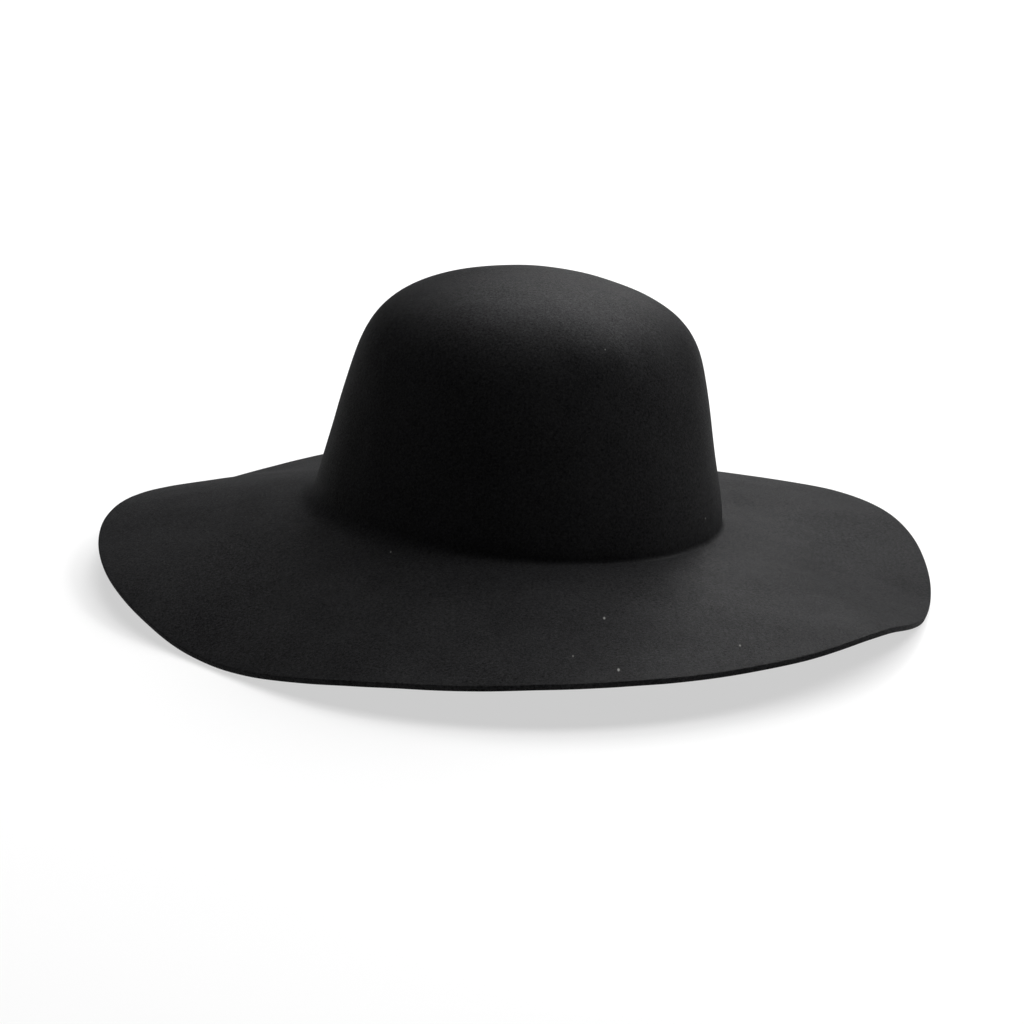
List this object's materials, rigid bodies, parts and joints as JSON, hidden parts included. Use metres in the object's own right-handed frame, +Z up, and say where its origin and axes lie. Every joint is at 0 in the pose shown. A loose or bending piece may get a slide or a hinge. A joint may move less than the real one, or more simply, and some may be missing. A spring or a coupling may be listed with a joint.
{
  "type": "wide-brim felt hat",
  "caption": "Soft black felt hat with an oval, round-topped open crown, a wide raw-edged brim that dips and lifts, and a ribbon sweatband inside.",
  "frame": {"origin": "on the surface that the hat stands on, below the middle of the brim's outline", "axes": "+Z up, -Y towards the wearer's face, +X towards the wearer's left; the brim is longest along Y"},
  "size_m": [0.3558, 0.3818, 0.1323],
  "materials": {
    "wool_felt": "black pressed wool felt, fibrous, matt with a soft sheen",
    "grosgrain_ribbon": "black grosgrain ribbon with fine upright ribs",
    "black_thread": "black twisted polyester sewing thread",
    "woven_label": "charcoal damask woven label, blank",
    "label_thread": "grey twisted polyester sewing thread",
    "satin_label": "off-white satin label ribbon, blank"
  },
  "bodies": {
    "root": {"felt_body": "wool_felt", "sweatband": "grosgrain_ribbon", "sweatband_hem_stitching": "black_thread", "sweatband_lap_stitching": "black_thread", "size_label": "woven_label", "size_label_stitching": "label_thread", "care_label": "satin_label"}
  },
  "joints": []
}
